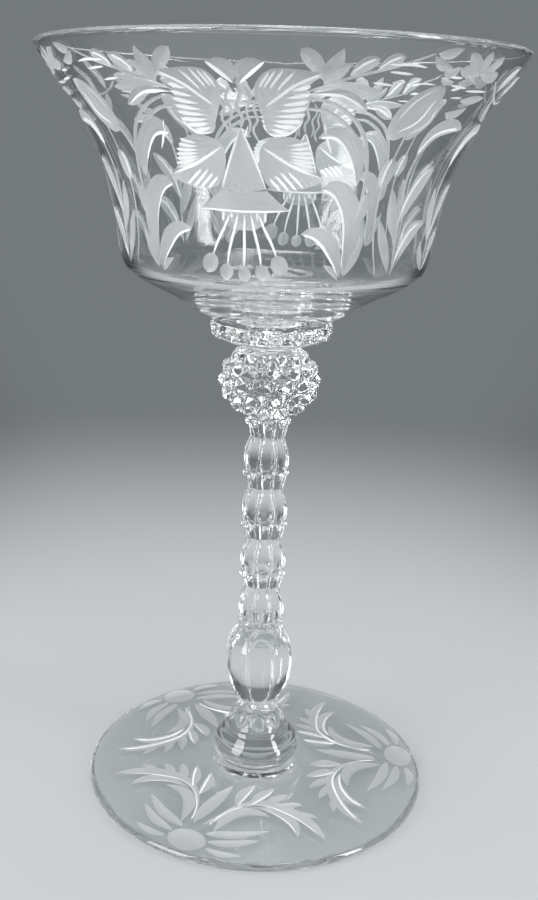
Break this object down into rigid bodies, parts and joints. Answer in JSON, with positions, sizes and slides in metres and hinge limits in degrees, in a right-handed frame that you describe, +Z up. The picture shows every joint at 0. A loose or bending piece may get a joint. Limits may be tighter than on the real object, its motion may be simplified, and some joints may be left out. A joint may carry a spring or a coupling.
{
  "type": "sherbet glass",
  "caption": "Stemmed sherbet glass: flared thin bowl on a beaded collar, hobnail ball, panelled and beaded column, ribbed baluster, bell knop and round foot.",
  "frame": {"origin": "centre of the face that the foot stands on", "axes": "+Z up along the stem; the front of the cut pattern faces -Y"},
  "size_m": [0.0954, 0.0954, 0.16],
  "materials": {
    "clear_glass": "fire-polished, clear",
    "cut_glass": "clear with satin wheel cutting"
  },
  "bodies": {
    "root": {"bowl": "cut_glass", "bead_collar": "clear_glass", "hobnail_ball": "clear_glass", "column_length_1": "clear_glass", "column_length_2": "clear_glass", "column_length_3": "clear_glass", "column_length_4": "clear_glass", "neck_bead_ring": "clear_glass", "ribbed_baluster": "clear_glass", "foot_rosette": "clear_glass", "foot_bell": "clear_glass", "foot": "cut_glass"}
  },
  "joints": []
}
